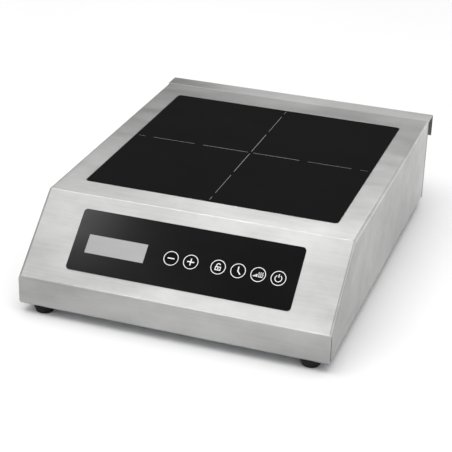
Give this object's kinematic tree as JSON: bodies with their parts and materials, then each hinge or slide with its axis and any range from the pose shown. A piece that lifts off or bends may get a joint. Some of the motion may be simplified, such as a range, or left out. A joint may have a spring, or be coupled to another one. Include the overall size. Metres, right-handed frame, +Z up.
{
  "type": "induction hob",
  "caption": "Countertop induction hob with a folded steel housing, flush black glass plate, sloping control strip with touch keys, rubber feet and a rear air outlet under a hood.",
  "frame": {"origin": "on the surface the feet stand on, under the middle of the hob's width and depth", "axes": "+X to the user's right, +Y from the control panel to the back, +Z up"},
  "size_m": [0.336, 0.449, 0.1108],
  "materials": {
    "brushed_stainless": "brushed, grain across the front",
    "galvanised_steel": "zinc-coated sheet",
    "glass_ceramic": "polished black glass ceramic, opaque to the eye",
    "black_silicone": "matt silicone",
    "mica": "flaky mica sheet",
    "black_film": "fine-textured printed film",
    "key_film": "fine-textured printed film",
    "smoked_window": "pale translucent film",
    "circuit_board": "solder mask",
    "black_plastic": "moulded",
    "white_plastic": "moulded",
    "natural_plastic": "moulded, uncoloured",
    "zinc_steel": "zinc plated",
    "spring_steel": "drawn wire",
    "aluminium_sheet": "mill finish",
    "copper_litz": "enamelled stranded wire",
    "copper_winding": "enamelled winding",
    "ferrite": "sintered",
    "capacitor_blue": "moulded box",
    "yellow_tape": "taped core",
    "grey_ribbon": "flat cable",
    "foot_rubber": "moulded rubber"
  },
  "bodies": {
    "housing": {"base_plate": "galvanised_steel", "board_standoffs": "zinc_steel", "bridge_rectifier": "black_plastic", "buzzer": "black_plastic", "coil_columns": "natural_plastic", "coil_former": "black_plastic", "coil_leads": "copper_litz", "coil_shield_plate": "aluminium_sheet", "coil_springs": "spring_steel", "control_board": "circuit_board", "control_overlay": "black_film", "control_ribbon": "grey_ribbon", "display_module": "white_plastic", "display_window": "smoked_window", "earth_stud": "zinc_steel", "fan_frame_left": "black_plastic", "fan_frame_right": "black_plastic", "fan_screws": "zinc_steel", "fan_stators": "copper_winding", "ferrite_bars": "ferrite", "film_capacitors": "capacitor_blue", "filter_board": "circuit_board", "foot_front_left": "foot_rubber", "foot_front_right": "foot_rubber", "foot_rear_left": "foot_rubber", "foot_rear_right": "foot_rubber", "foot_screws": "zinc_steel", "gland_body": "black_plastic", "gland_lock_nut": "black_plastic", "gland_nut": "black_plastic", "gland_seal": "black_silicone", "glass_plate": "glass_ceramic", "glass_seal": "black_silicone", "glass_sensor": "black_silicone", "glass_support_frame": "galvanised_steel", "heatsink": "aluminium_sheet", "heatsink_shroud": "black_plastic", "housing_screws": "zinc_steel", "induction_coil": "copper_litz", "key_switches": "black_plastic", "m3_screws": "zinc_steel", "m4_nuts": "zinc_steel", "mica_sheet": "mica", "panel_studs": "zinc_steel", "power_board": "circuit_board", "power_transistors": "black_plastic", "rear_panel": "brushed_stainless", "resonant_capacitors": "capacitor_blue", "ring_chokes": "copper_winding", "supply_transformer": "yellow_tape", "terminal_block": "natural_plastic", "top_cover": "brushed_stainless"},
    "key_minus": {"key_minus": "key_film"},
    "key_plus": {"key_plus": "key_film"},
    "key_lock": {"key_lock": "key_film"},
    "key_timer": {"key_timer": "key_film"},
    "key_level": {"key_level": "key_film"},
    "key_power": {"key_power": "key_film"},
    "fan_rotor_left": {"fan_rotor_left": "black_plastic"},
    "fan_rotor_right": {"fan_rotor_right": "black_plastic"}
  },
  "joints": [
    {"name": "key_minus_press", "type": "slide", "parent": "housing", "child": "key_minus", "axis": [0, 0.6556, -0.7551], "range_m": [0, 0.0004], "stiffness_N_per_m": 1500, "springref_m": -0.0002},
    {"name": "key_plus_press", "type": "slide", "parent": "housing", "child": "key_plus", "axis": [0, 0.6556, -0.7551], "range_m": [0, 0.0004], "stiffness_N_per_m": 1500, "springref_m": -0.0002},
    {"name": "key_lock_press", "type": "slide", "parent": "housing", "child": "key_lock", "axis": [0, 0.6556, -0.7551], "range_m": [0, 0.0004], "stiffness_N_per_m": 1500, "springref_m": -0.0002},
    {"name": "key_timer_press", "type": "slide", "parent": "housing", "child": "key_timer", "axis": [0, 0.6556, -0.7551], "range_m": [0, 0.0004], "stiffness_N_per_m": 1500, "springref_m": -0.0002},
    {"name": "key_level_press", "type": "slide", "parent": "housing", "child": "key_level", "axis": [0, 0.6556, -0.7551], "range_m": [0, 0.0004], "stiffness_N_per_m": 1500, "springref_m": -0.0002},
    {"name": "key_power_press", "type": "slide", "parent": "housing", "child": "key_power", "axis": [0, 0.6556, -0.7551], "range_m": [0, 0.0004], "stiffness_N_per_m": 1500, "springref_m": -0.0002},
    {"name": "fan_left_spin", "type": "hinge", "parent": "housing", "child": "fan_rotor_left", "pos_m": [-0.075, -0.1, 0.02], "axis": [0, 0, 1], "continuous": true},
    {"name": "fan_right_spin", "type": "hinge", "parent": "housing", "child": "fan_rotor_right", "pos_m": [0.075, -0.1, 0.02], "axis": [0, 0, 1], "continuous": true}
  ]
}
